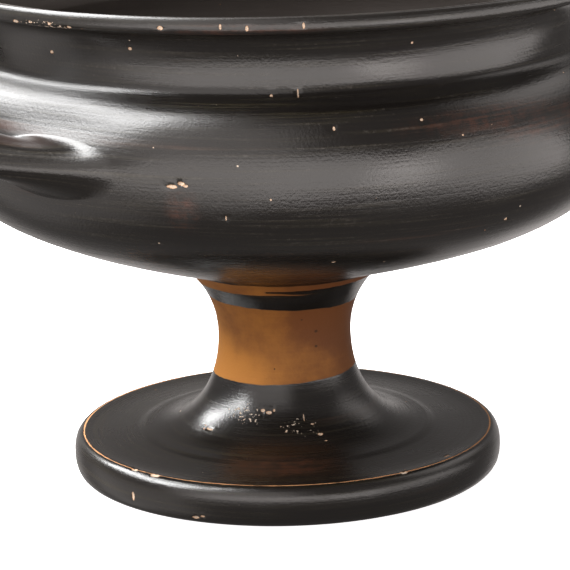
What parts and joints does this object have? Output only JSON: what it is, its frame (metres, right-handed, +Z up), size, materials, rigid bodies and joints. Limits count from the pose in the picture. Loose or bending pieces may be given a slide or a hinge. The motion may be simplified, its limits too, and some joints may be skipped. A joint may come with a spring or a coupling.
{
  "type": "stemmed black-gloss cup",
  "caption": "Ancient Greek stemmed cup: deep black-gloss bowl with offset concave lip, beaded rim and side loop handles, on a bare clay stem and broad disc foot. For drinking or display.",
  "frame": {"origin": "centre of the resting ring under the foot, on the surface that the cup stands on", "axes": "+Z up the stem, X from handle to handle, Y across the bowl"},
  "size_m": [0.2756, 0.1892, 0.1378],
  "materials": {
    "gloss_and_clay": "black gloss slip, thin in places, over orange clay that is bare on the stem; pitted, chipped and worn on the edges"
  },
  "bodies": {
    "root": {"stemmed_cup": "gloss_and_clay"}
  },
  "joints": []
}
